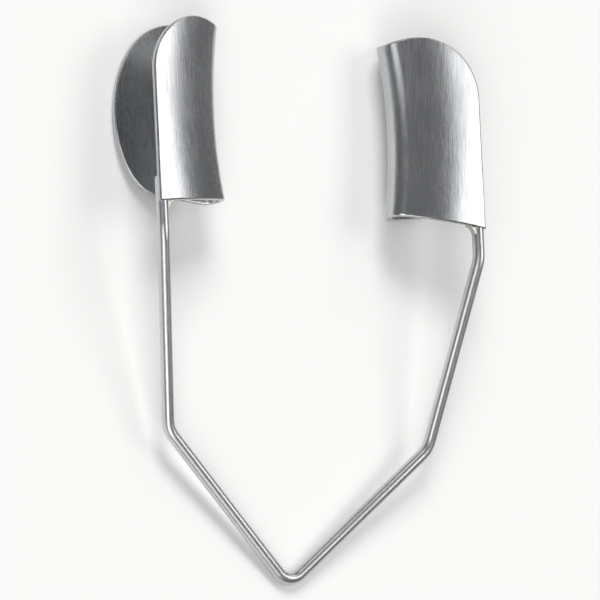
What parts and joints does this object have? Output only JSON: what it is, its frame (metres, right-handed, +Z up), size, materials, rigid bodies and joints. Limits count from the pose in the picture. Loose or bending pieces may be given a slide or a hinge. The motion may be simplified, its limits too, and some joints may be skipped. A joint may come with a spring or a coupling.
{
  "type": "eye speculum",
  "caption": "Wire eye speculum with solid channel blades that hold the eyelids apart, sprung by a bent wire frame.",
  "frame": {"origin": "middle of the bounding box on the plane of the table that it rests on", "axes": "+X across from one blade to the other, with the mirror plane at X = 0, +Y from the bottom bend of the wire towards the far ends of the blades, +Z up and away from the table, towards the front flanks"},
  "size_m": [0.0296, 0.0404, 0.0057],
  "materials": {
    "wire_steel": "polished stainless spring wire",
    "blade_steel": "satin polished stainless sheet",
    "braze": "polished silver braze"
  },
  "bodies": {
    "root": {"spring_wire": "wire_steel", "blade_left": "blade_steel", "blade_right": "blade_steel", "braze_left": "braze", "braze_right": "braze"}
  },
  "joints": []
}
